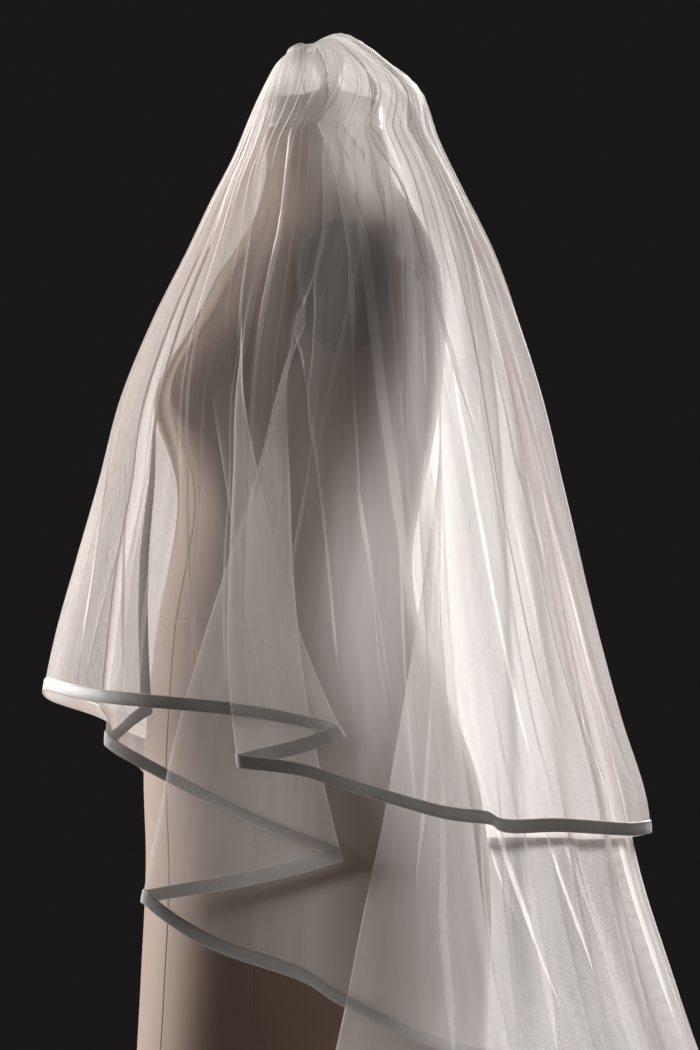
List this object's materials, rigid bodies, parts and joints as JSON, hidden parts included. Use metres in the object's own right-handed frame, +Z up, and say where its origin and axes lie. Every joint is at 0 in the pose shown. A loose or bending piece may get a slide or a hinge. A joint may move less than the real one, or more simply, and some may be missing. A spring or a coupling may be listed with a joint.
{
  "type": "two-tier bridal veil on a limbless dress form",
  "caption": "Two-tier tulle bridal veil with satin ribbon edges, gathered at the crown and draped in a cascade over a limbless dress form on a round stand.",
  "frame": {"origin": "centre of the stand base's underside, on the pole's axis", "axes": "+Z up along the pole; the form faces -Y; the form's left side is +X"},
  "size_m": [0.5818, 0.6748, 1.5469],
  "materials": {
    "tulle": "sheer matte net",
    "satin_ribbon": "satin",
    "form_cover": "matte jersey",
    "arm_plate": "dark, half gloss",
    "neck_cap": "white, satin",
    "stand": "black, half gloss"
  },
  "bodies": {
    "root": {"upper_tier": "tulle", "lower_tier": "tulle", "upper_ribbon": "satin_ribbon", "lower_ribbon": "satin_ribbon", "left_edge_ribbon": "satin_ribbon", "right_edge_ribbon": "satin_ribbon", "gathered_heading": "satin_ribbon", "dress_form": "form_cover", "left_arm_plate": "arm_plate", "right_arm_plate": "arm_plate", "neck_cap": "neck_cap", "finial": "neck_cap", "pole": "stand", "base": "stand"}
  },
  "joints": []
}
